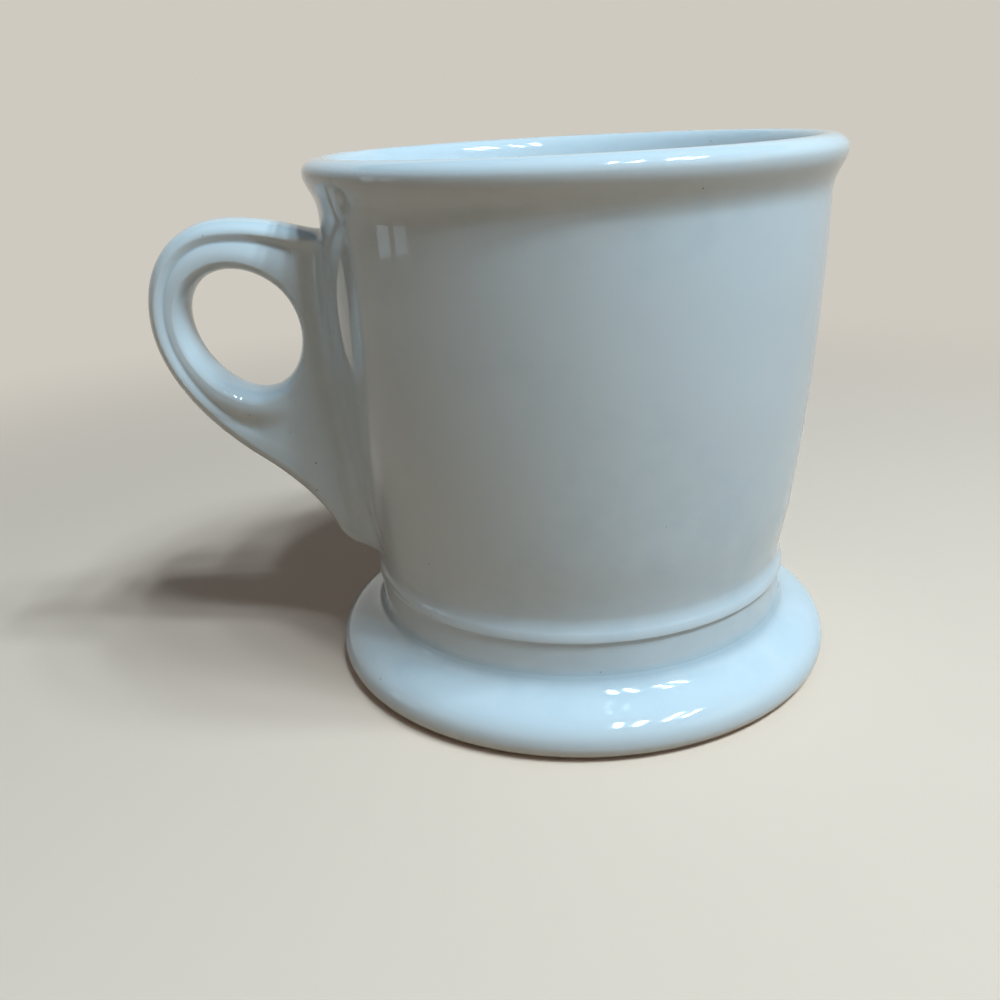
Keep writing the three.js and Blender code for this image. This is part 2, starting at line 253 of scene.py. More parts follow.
def turned(profile, steps):
    """A closed body from a profile that starts and ends on the mug's axis."""
    bm = bmesh.new()
    verts = [bm.verts.new(spot) for spot in profile]
    edges = [bm.edges.new(pair) for pair in zip(verts, verts[1:])]
    bmesh.ops.spin(
        bm, geom=verts + edges, cent=(AXIS_X, 0, 0), axis=(0, 0, 1),
        angle=math.tau, steps=steps, use_merge=True, use_duplicate=False,
    )
    bmesh.ops.remove_doubles(bm, verts=bm.verts[:], dist=SAME_SPOT)
    bmesh.ops.recalc_face_normals(bm, faces=bm.faces[:])
    return bm


def mark_glaze_depth_and_shade(bm, weight, rest=0.0):
    """Stores on each vertex how the glaze lies: above 0 in hollows, below 0 on edges. Hollows take
    a darker colour, which is partly painted shade.

    The weight is a function of the place. Below 1 it takes a place towards the rest value.
    """
    layer = bm.verts.layers.float.new("glaze_depth_and_shade")
    depth = {}
    for vert in bm.verts:
        area = sum(face.calc_area() / len(face.verts) for face in vert.link_faces)
        bend = sum(
            edge.calc_length() * edge.calc_face_angle_signed(0.0) for edge in vert.link_edges
        )
        depth[vert] = -bend / (4 * area) if area > 0 else 0.0
    for _ in range(DEPTH_ROUNDS):
        depth = {
            vert: (depth[vert] + sum(depth[edge.other_vert(vert)] for edge in vert.link_edges))
            / (1 + len(vert.link_edges))
            for vert in bm.verts
        }
    for vert in bm.verts:
        vert[layer] = mix(rest, math.tanh(depth[vert] * POOL_RADIUS), weight(vert.co))


def off_crease(spot):
    """0 in the crease between collar and foot, rising to 1 away from it."""
    return blend(*CREASE_SHADE_FADE, abs(spot.z - CREASE))


def mark_dry_ring(bm):
    """Stores on each vertex whether it is on the standing ring, where the glaze was wiped off."""
    layer = bm.verts.layers.float.new("dry_ring")
    for vert in bm.verts:
        vert[layer] = 1.0 if vert.co.z < DRY_HEIGHT else 0.0


def mesh_object(bm, name, material):
    """Turns a bmesh into a smoothly shaded object of the scene."""
    for face in bm.faces:
        face.smooth = True
    mesh = bpy.data.meshes.new(name)
    bm.to_mesh(mesh)
    bm.free()
    mesh.materials.append(material)
    made = bpy.data.objects.new(name, mesh)
    bpy.context.scene.collection.objects.link(made)
    return made


def finish_piece(bm, name, material, node, levels=0):
    """Turns a bmesh into a piece of the mug that stands for a CAD node."""
    piece = mesh_object(bm, name, material)
    if levels:
        smooth = piece.modifiers.new("Smooth", "SUBSURF")
        smooth.levels = levels
        smooth.render_levels = levels
    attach(piece, "root")
    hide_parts(node)


# The cup and the foot

FLARE_OVERLAP = 0.4 * MM  # how far the flare runs up past the wall's lower end
FLAT_RING = 0.6  # share of the collar's radius where a flat face is divided
RING_ROUND = 0.5 * MM  # round of the standing ring's inner edge
TIGHT = 0.02 * MM  # round of the edges that close the joint over the foot


def cup_levels(cup):
    """Heights of the ledge, the wall's two ends and the floor."""
    ledge = CUP_LOW.z + cup.collar_height
    bottom, top = ledge + cup.flare_height, CUP_HIGH.z - cup.lip_height
    return ledge, bottom, top, CUP_LOW.z + cup.floor_thickness


def wall_radius(cup, level):
    """Outside radius of the bowed wall at a height, with its neck and the flare over the ledge."""
    ledge, bottom, top, _ = cup_levels(cup)
    share = (level - bottom) / (top - bottom)
    radius = mix(cup.wall_bottom_radius, cup.wall_top_radius, share)
    radius += 4 * cup.wall_bow * share * (1 - share)
    radius -= cup.neck_depth * blend(bottom + cup.neck_height, bottom, level)
    flare_top = bottom + FLARE_OVERLAP
    spread = max(0.0, (flare_top - level) / (flare_top - ledge - cup.ledge_crown))
    return radius + cup.flare_gain * spread * spread


def wall_line(cup, start, end, steps, inset=0.0):
    """Points along the wall between two heights, without its start."""
    levels = [mix(start, end, i / steps) for i in range(1, steps + 1)]
    return [place(wall_radius(cup, level) - inset, level) for level in levels]


def cup_profile(cup):
    """Profile from the middle of the underside, up the outside, over the rim, down the inside."""
    ledge, bottom, top, floor = cup_levels(cup)
    under, rim = CUP_LOW.z, CUP_HIGH.z
    collar = cup.collar_radius
    low_edge, cove_top = collar + cup.collar_spread, under + cup.collar_cove

    # The underside and the collar
    line = [place(0, under), place(collar * FLAT_RING, under), place(low_edge - TIGHT, under)]
    line += corner(
        line[-1], place(low_edge, under), place(low_edge - TIGHT * 0.2, under + TIGHT),
        3, ROUND_CURVE,
    )
    line += corner(
        line[-1], place(collar, under + cup.collar_cove * 0.5), place(collar, cove_top), 8
    )
    line += [place(collar, mix(cove_top, ledge, share)) for share in (0.3, 0.6, 0.85)]

    # The ledge with its rounded edge
    edge, inset = collar + cup.ledge_reach, cup.ledge_reach * 0.3
    line += corner(
        line[-1], place(collar, ledge - inset), place(collar + inset, ledge - inset), 5
    )
    line += corner(line[-1], place(edge, ledge - inset), place(edge, ledge + inset), 6)
    crown_level = ledge + cup.ledge_crown
    line += corner(
        line[-1], place(edge, mix(ledge, crown_level, 0.5)),
        place(wall_radius(cup, crown_level), crown_level), 10,
    )

    # The flare, the neck and the bowed wall
    neck_top = bottom + cup.neck_height
    line += wall_line(cup, crown_level, bottom, 14)
    line += wall_line(cup, bottom, neck_top, 10)
    line += wall_line(cup, neck_top, top, 22)

    # The rolled lip
    widest = rim - cup.lip_drop
    cove = widest - top
    lean = (cup.wall_top_radius - cup.wall_bottom_radius - 4 * cup.wall_bow) / (top - bottom)
    line += curve(
        line[-1],
        place(cup.wall_top_radius + lean * cove / 2, top + cove / 2),
        place(cup.lip_radius, widest - cove / 3),
        place(cup.lip_radius, widest), 18,
    )
    line += corner(line[-1], place(cup.lip_radius, rim), place(cup.lip_crest, rim), 14, ROUND_CURVE)
    inner = wall_radius(cup, top) - cup.thickness
    line += curve(
        line[-1],
        place((cup.lip_crest + inner) / 2, rim),
        place(inner, rim - cup.lip_height / 3),
        place(inner, top), 16,
    )

    # The inside
    low = floor + cup.floor_round
    line += wall_line(cup, top, low, 16, cup.thickness)
    inner = wall_radius(cup, low) - cup.thickness
    line += corner(
        line[-1], place(inner, floor), place(inner - cup.floor_round, floor), 14, ROUND_CURVE
    )
    line += [place(inner * share, floor) for share in (0.5, 0.25, 0)]
    return line


def foot_profile(foot, collar):
    """Profile from the middle of the underside, round the bell and back to the axis on top."""
    outside = foot.radius - foot.undercut
    inside = outside - foot.ring_width
    hollow, slope = foot.recess_depth, foot.recess_slope
    top, upper = FOOT_HIGH.z, collar + foot.top_spread
    line = [place(0, hollow), place(inside * 0.5, hollow), place(inside - slope, hollow)]
    line += corner(
        line[-1], place(inside - slope / 4, hollow),
        place(inside - RING_ROUND * 0.4, RING_ROUND * 0.6), 10,
    )
    line += corner(line[-1], place(inside, 0), place(inside + RING_ROUND, 0), 4)
    line += [place(inside + foot.ring_width / 2, 0), place(outside, 0)]
    line += corner(
        line[-1], place(foot.radius, 0), place(foot.radius, foot.widest_height), 14, ROUND_CURVE
    )
    line += curve(
        line[-1],
        place(foot.radius, foot.widest_height + foot.bell_shoulder),
        place(upper + foot.bell_drift, top - foot.bell_drop),
        place(upper, top - TIGHT), 34,
    )
    line += corner(line[-1], place(upper, top), place(upper - TIGHT, top), 3, ROUND_CURVE)
    line += [place(collar * FLAT_RING, top), place(0, top)]
    return line


def crease_profile(cup, foot):
    """Profile of the slip between cup and foot, with its hollow edge in the crease."""
    low, high = SLIP_LOW.z, SLIP_HIGH.z
    outer, inner = cup.collar_radius + foot.top_spread, cup.collar_radius + cup.collar_spread
    line = [place(0, low), place(outer - TIGHT, low)]
    line += corner(line[-1], place(outer, low), place(outer - TIGHT * 0.3, low + TIGHT), 3)
    hollow = place(mix(inner, outer, 0.42), mix(low, high, 0.5))
    line += corner(line[-1], hollow, place(inner, high - TIGHT), 6)
    line += corner(line[-1], place(inner, high), place(inner - TIGHT, high), 3)
    line.append(place(0, high))
    return line


# The handle

WAIST_SLOPE, HEEL_SLOPE = math.radians(37), math.radians(70)  # of the tail's outer edge
HOLE_LEAN = 0.15  # how far the finger hole leans out per unit of height
RING_TILT = math.radians(8)  # how far the ring's middle points above level
RING_FADE = (-0.78, -0.15)  # cosines where the ridge round the hole ends and is full
RIDGE_FADE = 12 * MM  # height above the waist where the outer ridge is full
RIDGE_WIDENING = 1.6  # of the outer ridge where it has died out
WEB_RISE = 4 * MM  # height above the waist where the web is full
WALL_SIDE_ROUND = 0.85  # share of the hole's round that is left next to the wall
OUTER_LIMIT, HOLE_LIMIT = 0.27, 0.3  # most of a section's width that each round takes
HOLE_KEEP = 0.62  # share of the hole's round that the root fillet keeps off
BESIDE_HOLE = 1.5  # half heights of the hole over which that fillet is narrower
EDGE_STEPS, FACE_STEPS = 5, 26  # steps round each rounded edge and across the face
END_ZONE, END_SHARE = 3 * MM, 0.42  # finely stepped ends of a face, and their share of steps
RING_SECTIONS, TAIL_SECTIONS, WEB_SECTIONS = 84, 30, 30
FILLET_TURNS = (78, 66, 54, 43, 33, 24, 16, 9, 3)  # degrees down the root fillet
ROOT_SINKS = ((1.0, 0.004), (1.08, 0.015), (1.16, 0.05), (1.18, 1.1))  # reach, mm in the wall
TOE_STRAIGHT = 0.75  # how straight the tail's underside falls to the wall
TOP_SETTLE = 0.3  # how far the root's top settles for its distance from the wall
ROOT_NARROW = 0.45  # share of the root's spread that is left at the tail and the top
WALL_FADE = (0.1 * MM, 2.5 * MM)  # distances from the wall over which glaze depth and painted shade set in
PAD_OUT, PAD_THICKNESS = 0.8 * MM, 0.7 * MM  # slip behind the handle, from the wall


def away(start, angle, distance):
    return start + Vector((math.cos(angle), math.sin(angle))) * distance


class HandleShape:
    """The handle's side outline, its finger hole and how thick it is at each place.

    Places are given by their distance from the mug's axis and their height.
    """

    def __init__(self, handle, cup):
        self.handle = handle
        self.cup = cup
        ledge, bottom, top, _ = cup_levels(cup)
        rim = CUP_HIGH.z
        middle = wall_radius(cup, (bottom + top) / 2)
        self.ring_top = Vector((middle + handle.ring_top_out, rim - handle.ring_top_drop))
        self.ring_side = Vector((handle.ring_reach, rim - handle.ring_side_drop))
        self.hole = Vector((middle + handle.hole_out, rim - handle.hole_drop))
        self.waist = self.beside_wall(handle.waist_out, ledge + handle.waist_rise)
        self.heel = self.beside_wall(handle.heel_out, ledge + handle.heel_rise)
        self.tail = ledge + handle.tail_rise
        self.edge_line = self.outline()
        self.hole_line = [self.hole_edge(math.tau * i / 120)[0] for i in range(121)]

    def beside_wall(self, distance, level):
        return Vector((wall_radius(self.cup, level) + distance, level))

    def outline(self):
        """Free edge from the wall over the ring and down to the tail.

        Each row of the table gives a curve's two pulls, its end and its steps.
        """
        top, side, waist, heel = self.ring_top, self.ring_side, self.waist, self.heel
        start = self.beside_wall(-self.cup.thickness, CUP_HIGH.z - self.handle.root_drop)
        over, under, down = top.x - start.x, (side - waist).length, (waist - heel).length
        tail, out = self.tail, self.handle.heel_out
        line = [start]
        for first, second, end, steps in (
            (
                Vector((start.x + over * 0.4, mix(start.y, top.y, 0.6))),
                Vector((top.x - over * 0.3, top.y)), top, 36,
            ),
            (
                Vector((mix(top.x, side.x, 0.6), top.y)),
                Vector((side.x, mix(side.y, top.y, 0.6))), side, 36,
            ),
            (
                Vector((side.x, side.y - under * 0.36)),
                away(waist, WAIST_SLOPE, under * 0.26), waist, 36,
            ),
            (
                away(waist, WAIST_SLOPE, -down * 0.27),
                away(heel, HEEL_SLOPE, down * 0.32), heel, 24,
            ),
            (
                away(heel, HEEL_SLOPE, (tail - heel.y) * 0.4),
                Vector((heel.x - out * 0.6, tail + out * 0.275)),
                Vector((heel.x - out * 1.3, tail - out * 0.1)), 28,
            ),
        ):
            line += curve(start, first, second, end, steps)
            start = end
        return line

    def hole_edge(self, turn):
        """Point on the finger hole's edge, and the direction from there into the handle."""
        handle = self.handle
        sin, cos = math.sin(turn), math.cos(turn)
        half = handle.hole_half_width + handle.hole_swell * sin
        rise = handle.hole_half_height * sin
        spot = self.hole + Vector((HOLE_LEAN * rise + half * cos, rise))
        along = Vector((
            HOLE_LEAN * handle.hole_half_height * cos + handle.hole_swell * cos * cos - half * sin,
            handle.hole_half_height * cos,
        ))
        return spot, Vector((along.y, -along.x)).normalized()

    def facing_edge(self, spot):
        """The hole's edge that faces a place, as hole_edge gives it."""
        way = spot - self.hole
        upright = way.x - HOLE_LEAN * way.y
        return self.hole_edge(math.atan2(
            way.y / self.handle.hole_half_height, upright / self.handle.hole_half_width
        ))

    def clear(self, spot):
        """Distance of a place from the wall."""
        return spot.x - wall_radius(self.cup, spot.y)

    def half_thickness(self, spot):
        """Half the handle's thickness at a place, with its ridges, groove and rounded edges."""
        handle = self.handle
        edge = nearest(self.edge_line, spot)
        hole = nearest(self.hole_line, spot)
        way = (spot - self.hole).normalized()
        facing = way.x * math.cos(RING_TILT) + way.y * math.sin(RING_TILT)
        ring = blend(*RING_FADE, facing)  # 0 between the hole and the wall
        full = blend(self.waist.y, self.waist.y + RIDGE_FADE, spot.y)  # 0 along the tail
        rise = blend(self.tail, self.waist.y + WEB_RISE, spot.y)
        body = mix(handle.tail_half, handle.web_half, rise)
        outer_foot = handle.outer_foot * mix(RIDGE_WIDENING, 1.0, full)
        body += handle.outer_ridge * full * crown(edge, handle.outer_crest, outer_foot)
        body += handle.inner_ridge * ring * crown(hole, handle.inner_crest, handle.inner_foot)
        hole_round = mix(WALL_SIDE_ROUND, 1.0, ring) * handle.hole_round
        return body * quarter_round(edge / handle.outer_round) * quarter_round(hole / hole_round)


def crown(distance, crest, foot):
    """Height of a ridge's crown: 1 up to its crest, then a round fall to 0 at its foot."""
    share = clamp((distance - crest) / (foot - crest))
    return (1 - share * share) * (1 - 0.6 * share * share)


def quarter_round(share):
    """Height of a rounded edge, from 0 at the edge to 1 where the face begins."""
    left = 1 - clamp(share)
    return math.sqrt(1 - left * left)


def nearest(line, spot):
    """Distance from a place to a line of points."""
    best = math.inf
    for start, end in zip(line, line[1:]):
        run = end - start
        share = clamp((spot - start).dot(run) / run.length_squared)
        best = min(best, (start + run * share - spot).length)
    return best


def spaced(line, count):
    """A number of points at equal distances along a line."""
    runs = [0.0]
    for start, end in zip(line, line[1:]):
        runs.append(runs[-1] + (end - start).length)
    points, k = [], 0
    for i in range(count):
        wanted = runs[-1] * i / (count - 1)
        while k < len(line) - 2 and runs[k + 1] < wanted:
            k += 1
        share = (wanted - runs[k]) / (runs[k + 1] - runs[k])
        points.append(line[k].lerp(line[k + 1], share))
    return points


def round_edge(start, way):
    """Places of a rounded edge along a way into the handle, without the last one."""
    turns = [math.pi / 2 * i / EDGE_STEPS for i in range(EDGE_STEPS)]
    return [start + way * (1 - math.cos(turn)) for turn in turns]


def across(outer, inward, inner, outward, outer_round, hole_round):
    """Places of one section of the handle from its outer edge to the hole."""
    width = (outer - inner).length
    outer_way = inward * min(outer_round, OUTER_LIMIT * width)
    hole_way = outward * min(hole_round, HOLE_LIMIT * width)
    crest, ridge = outer + outer_way, inner + hole_way
    run = (ridge - crest).length
    face = []
    for i in range(FACE_STEPS + 1):
        share = i / FACE_STEPS
        if run * END_SHARE > END_ZONE:
            zone = END_ZONE / run
            if share < END_SHARE:
                share = zone * share / END_SHARE
            elif share > 1 - END_SHARE:
                share = 1 - zone * (1 - share) / END_SHARE
            else:
                share = mix(zone, 1 - zone, (share - END_SHARE) / (1 - 2 * END_SHARE))
        face.append(crest.lerp(ridge, share))
    return round_edge(outer, outer_way) + face + round_edge(inner, hole_way)[::-1]


def on_wall(radius, y, level):
    """A point on the handle's side of the mug, by its distance from the mug's axis."""
    return Vector((AXIS_X - math.sqrt(radius * radius - y * y), y, level))


def wall_distance(cup, spot):
    """Distance of a point from the wall, measured level."""
    return math.hypot(AXIS_X - spot.x, spot.y) - wall_radius(cup, spot.z)


def add_chain(bm, points, closed):
    """Edges through a row of points, back to the first one if the chain is closed."""
    verts = [bm.verts.new(spot) for spot in points]
    pairs = list(zip(verts, verts[1:]))
    if closed:
        pairs.append((verts[-1], verts[0]))
    return [bm.edges.new(pair) for pair in pairs]


def both_faces(shape, spots, edge):
    """Points over places of the front face and of the back face, which meet in one of them."""
    halves = [shape.half_thickness(spot) for spot in spots]
    halves[edge] = 0.0
    front = [Vector((AXIS_X - spot.x, half, spot.y)) for spot, half in zip(spots, halves)]
    return front, [Vector((spot.x, -spot.y, spot.z)) for spot in front]


def add_section(bm, shape, spots, closed):
    """A chain over both faces that turns at the hole, and at the outer edge if it is closed."""
    front, back = both_faces(shape, spots, -1)
    return add_chain(bm, front + (back[-2:0:-1] if closed else back[-2::-1]), closed)


def handle_stations(shape):
    """Places along the free edge from the top to the tail, each with its way into the handle."""
    fillet = shape.handle.root_fillet
    free = [spot for spot in shape.edge_line if shape.clear(spot) > fillet]
    split = next(
        i for i, spot in enumerate(free)
        if spot.x < shape.ring_side.x - MM and spot.y <= shape.waist.y
    )
    places = spaced(free[:split + 1], RING_SECTIONS) + spaced(free[split:], TAIL_SECTIONS)[1:]
    stations = []
    for i, outer in enumerate(places):
        along = places[min(i + 1, len(places) - 1)] - places[max(i - 1, 0)]
        square = Vector((along.y, -along.x)).normalized()
        upright = Vector((0.1, 1.0 if outer.y < shape.hole.y else -1.0)).normalized()
        from_wall = blend(0.0, 4 * MM, shape.clear(outer) - fillet)
        stations.append((outer, upright.lerp(square, from_wall).normalized()))
    return stations


def ring_chains(bm, shape, stations):
    """The ring's closed sections, from the free edge to the hole."""
    handle = shape.handle
    chains = []
    for outer, way in stations:
        spots = across(outer, way, *shape.facing_edge(outer), handle.outer_round, handle.hole_round)
        chains.append(add_section(bm, shape, spots, True))
    return chains


def tail_chains(bm, shape, stations):
    """The tail's sections from the free edge to the wall, and the places of the first one."""
    edge_round = shape.handle.outer_round
    waist, low = stations[0][0].y, stations[-1][0].y
    chains, first_row = [], None
    for outer, way in stations:
        level = mix(low + edge_round + 3 * MM, waist + 1.5 * MM, (outer.y - low) / (waist - low))
        root = shape.beside_wall(wall_gap(shape, level), level)
        width = (outer - shape.facing_edge(outer)[0]).length
        crest = outer + way * min(edge_round, OUTER_LIMIT * width)
        spots = round_edge(outer, crest - outer)
        spots += [crest.lerp(root, i / FACE_STEPS) for i in range(FACE_STEPS + 1)]
        first_row = first_row or spots
        front, back = both_faces(shape, spots, 0)
        chains.append(add_chain(bm, back[:0:-1] + front, False))
    return chains, first_row


def web_chains(bm, shape, first_row, highest):
    """The web's sections to the hole, from the tail's first row and then from the wall."""
    starts = first_row[EDGE_STEPS + 1:]
    lowest = starts[-1].y
    for i in range(1, WEB_SECTIONS):
        level = mix(lowest, highest, i / WEB_SECTIONS)
        starts.append(shape.beside_wall(wall_gap(shape, level), level))
    chains = []
    for start in starts:
        inner, outward = shape.facing_edge(start)
        ahead = (inner - start).normalized()
        spots = across(start, ahead, inner, outward, 0.0, shape.handle.hole_round)
        chains.append(add_section(bm, shape, spots[EDGE_STEPS:], False))
    return chains


def handle_body(shape):
    """The handle's skin, open only where its root meets the wall."""
    bm = bmesh.new()
    stations = handle_stations(shape)
    rings = ring_chains(bm, shape, stations[:RING_SECTIONS])
    tails, first_row = tail_chains(bm, shape, stations[RING_SECTIONS - 1:])
    webs = web_chains(bm, shape, first_row, stations[0][0].y - shape.handle.outer_round)
    to_hole = slice(EDGE_STEPS, len(rings[0]) - EDGE_STEPS)
    for chains in (rings, tails, [rings[-1][to_hole], *webs, rings[0][to_hole]]):
        for first, second in zip(chains, chains[1:]):
            bmesh.ops.bridge_loops(bm, edges=first + second)
    bmesh.ops.remove_doubles(bm, verts=bm.verts[:], dist=SAME_SPOT)
    return bm


def open_loop(bm):
    """The verts of a skin's open edge in order, from the tail's underside up the front face."""
    edges = {edge for edge in bm.edges if edge.is_boundary}
    start = min((vert for edge in edges for vert in edge.verts), key=lambda vert: vert.co.z)
    loop, vert = [], start
    while edges:
        ways = [edge for edge in vert.link_edges if edge in edges]
        if not ways:
            raise RuntimeError("The handle's open edge isn't one loop")
        edge = max(ways, key=lambda way: way.other_vert(vert).co.y)
        edges.discard(edge)
        loop.append(vert)
        vert = edge.other_vert(vert)
    return loop


def wall_gap(shape, level):
    """Distance from the wall at which the root's fillet begins, smaller beside the hole."""
    handle = shape.handle
    near = shape.hole.x - handle.hole_half_width - wall_radius(shape.cup, shape.hole.y)
    least = min(handle.root_fillet, near - HOLE_KEEP * handle.hole_round)
    off_hole = abs(level - shape.hole.y) / (handle.hole_half_height * BESIDE_HOLE)
    beside = math.cos(clamp(off_hole) * math.pi / 2) ** 2
    return mix(handle.root_fillet, least, beside)


def root_levels():
    """Share of the gap that is left, reach along the wall and depth in it, for each root loop."""
    turns = [math.radians(angle) for angle in FILLET_TURNS]
    levels = [((1 - math.cos(turn)) ** 1.5, 1 - math.sin(turn), 0.0) for turn in turns]
    return levels + [(0.0, reach, sink * MM) for reach, sink in ROOT_SINKS]


def root_loops(shape, loop):
    """Loops that carry the handle's open edge down a hollow fillet and into the wall."""
    handle, cup = shape.handle, shape.cup
    spots = [vert.co.copy() for vert in loop]
    highest = max(spot.z for spot in spots)
    loops = []
    for share, reach, sink in root_levels():
        points = []
        for i, spot in enumerate(spots):
            along = spots[(i + 1) % len(spots)] - spots[i - 1]
            side = Vector((along.z, -along.y)).normalized()
            gap = wall_distance(cup, spot)
            wide = blend(shape.tail + 4 * MM, shape.waist.y + 6 * MM, spot.z)
            wide *= blend(highest, highest - 14 * MM, spot.z)
            spread = handle.root_spread * mix(ROOT_NARROW, 1.0, wide)
            y = spot.y + side.x * min(gap, handle.root_fillet) * spread * reach
            fall = handle.root_toe * mix(reach, 1 - share, TOE_STRAIGHT)
            z = spot.z + side.y * (handle.root_edge_fillet * reach if side.y > 0 else fall)
            z -= max(0.0, side.y) * gap * (1 - share) * TOP_SETTLE
            points.append(on_wall(wall_radius(cup, z) + gap * share - sink, y, z))
        loops.append(points)
    return loops


def sink_root(bm, shape):
    """Closes the handle's skin with a root that runs down into the wall."""
    loop = open_loop(bm)
    last = [bm.edges.get(pair) for pair in zip(loop, loop[1:] + loop[:1])]
    for points in root_loops(shape, loop):
        edges = add_chain(bm, points, True)
        bmesh.ops.bridge_loops(bm, edges=last + edges)
        last = edges
    bmesh.ops.edgeloop_fill(bm, edges=last)
    bmesh.ops.recalc_face_normals(bm, faces=bm.faces[:])


def slip_pad(shape):
    """The slip behind the handle, a thin layer bent round the wall, with rounded ends."""
    low, high = shape.tail + 4 * MM, shape.edge_line[0].y - 3 * MM
    bm = bmesh.new()
    bmesh.ops.create_grid(bm, x_segments=10, y_segments=60, size=1.0)
    for vert in bm.verts:
        share = (vert.co.y + 1) / 2
        level = mix(low, high, share)
        end = math.sqrt(max(0.05, 1 - abs(2 * share - 1) ** 12))
        y = vert.co.x * shape.handle.tail_half * end
        vert.co = on_wall(wall_radius(shape.cup, level) + PAD_OUT, y, level)
    bmesh.ops.recalc_face_normals(bm, faces=bm.faces[:])
    bmesh.ops.solidify(bm, geom=bm.faces[:], thickness=PAD_THICKNESS)
    bmesh.ops.recalc_face_normals(bm, faces=bm.faces[:])
    return bm


# Materials

GLAZE_COLOURS = ("Glaze", "Pooled_and_shade", "Thin", "Speck", "Clay")
GLAZE_IOR = 1.52
SKIN_DEPTH = 0.22 * MM  # depth of the unevenness in the glaze's skin
CLOUD_SCALE, MOTTLE_SCALE = 26.0, 190.0  # broad and fine changes of the glaze's depth
CLOUD_DEPTH, MOTTLE_DEPTH = 0.22, 0.14  # how much those change it, up and down
WAVE_SCALE, PEEL_SCALE = 42.0, 900.0  # broad and fine unevenness of the glaze's skin
SPECK_SCALE = 300.0  # cells per metre that may hold a speck
SPECK_DRAW = (0.76, 0.80)  # a cell's first draw has to reach this for a speck
SPECK_SIZES = (0.03, 0.065)  # smallest and largest speck, in cells
SPECK_EDGE = 0.02  # soft edge of a speck, in cells
NOISE_SPAN = (0.3, 0.7)  # values between which most of a noise lies
GRAIN_SCALE = 1400.0
GRAIN_DEPTH = 0.08 * MM
SLIP_ROUGHNESS = 0.62


def colour_of(value):
    return (*value[:3], 1.0)


class Wiring:
    """Adds nodes to one node tree and links them."""

    def __init__(self, tree):
        self.tree = tree

    def feed(self, socket, value):
        """Links another node's output to a socket, or sets the socket to a plain value."""
        if isinstance(value, bpy.types.NodeSocket):
            self.tree.links.new(value, socket)
        else:
            socket.default_value = value

    def add(self, kind, inputs=None, **settings):
        """A new node with its settings, and with inputs by name or number."""
        node = self.tree.nodes.new(kind)
        for name, value in settings.items():
            setattr(node, name, value)
        for label, value in (inputs or {}).items():
            self.feed(node.inputs[label], value)
        return node

    def coords(self, kind="Object"):
        return self.add("ShaderNodeTexCoord").outputs[kind]

    def noise(self, spot, scale, detail):
        inputs = {"Vector": spot, "Scale": scale, "Detail": detail}
        return self.add("ShaderNodeTexNoise", inputs).outputs["Fac"]

    def worked(self, operation, first, second):
        return self.add("ShaderNodeMath", {0: first, 1: second}, operation=operation).outputs[0]

    def spread(self, value, low, high, start=0.0, end=1.0, kind="LINEAR"):
        """A value with its range from low to high moved to the range from start to end."""
        inputs = {
            "Value": value, "From Min": low, "From Max": high, "To Min": start, "To Max": end,
        }
        return self.add("ShaderNodeMapRange", inputs, interpolation_type=kind).outputs["Result"]

    def blended(self, factor, first, second):
        inputs = {"Factor": factor, "A": first, "B": second}
        return self.add("ShaderNodeMix", inputs, data_type="RGBA").outputs["Result"]

    def ramp(self, value, *stops, kind="LINEAR"):
        """A colour that goes over from one stop, a position and a colour, to the next."""
        node = self.add("ShaderNodeValToRGB", {"Fac": value})
        node.color_ramp.interpolation = kind
        for stop, (position, colour) in zip(node.color_ramp.elements, stops):
            stop.position = position
            stop.color = colour_of(colour)
        return node.outputs["Color"]

    def bumped(self, height, strength, depth):
        inputs = {"Height": height, "Strength": strength, "Distance": depth}
        return self.add("ShaderNodeBump", inputs).outputs["Normal"]


def new_material(name):
    """A new material, the wiring of its nodes and its main shader."""
    material = bpy.data.materials.new(name)
    material.use_nodes = True
    tree = material.node_tree
    return material, Wiring(tree), tree.nodes["Principled BSDF"]


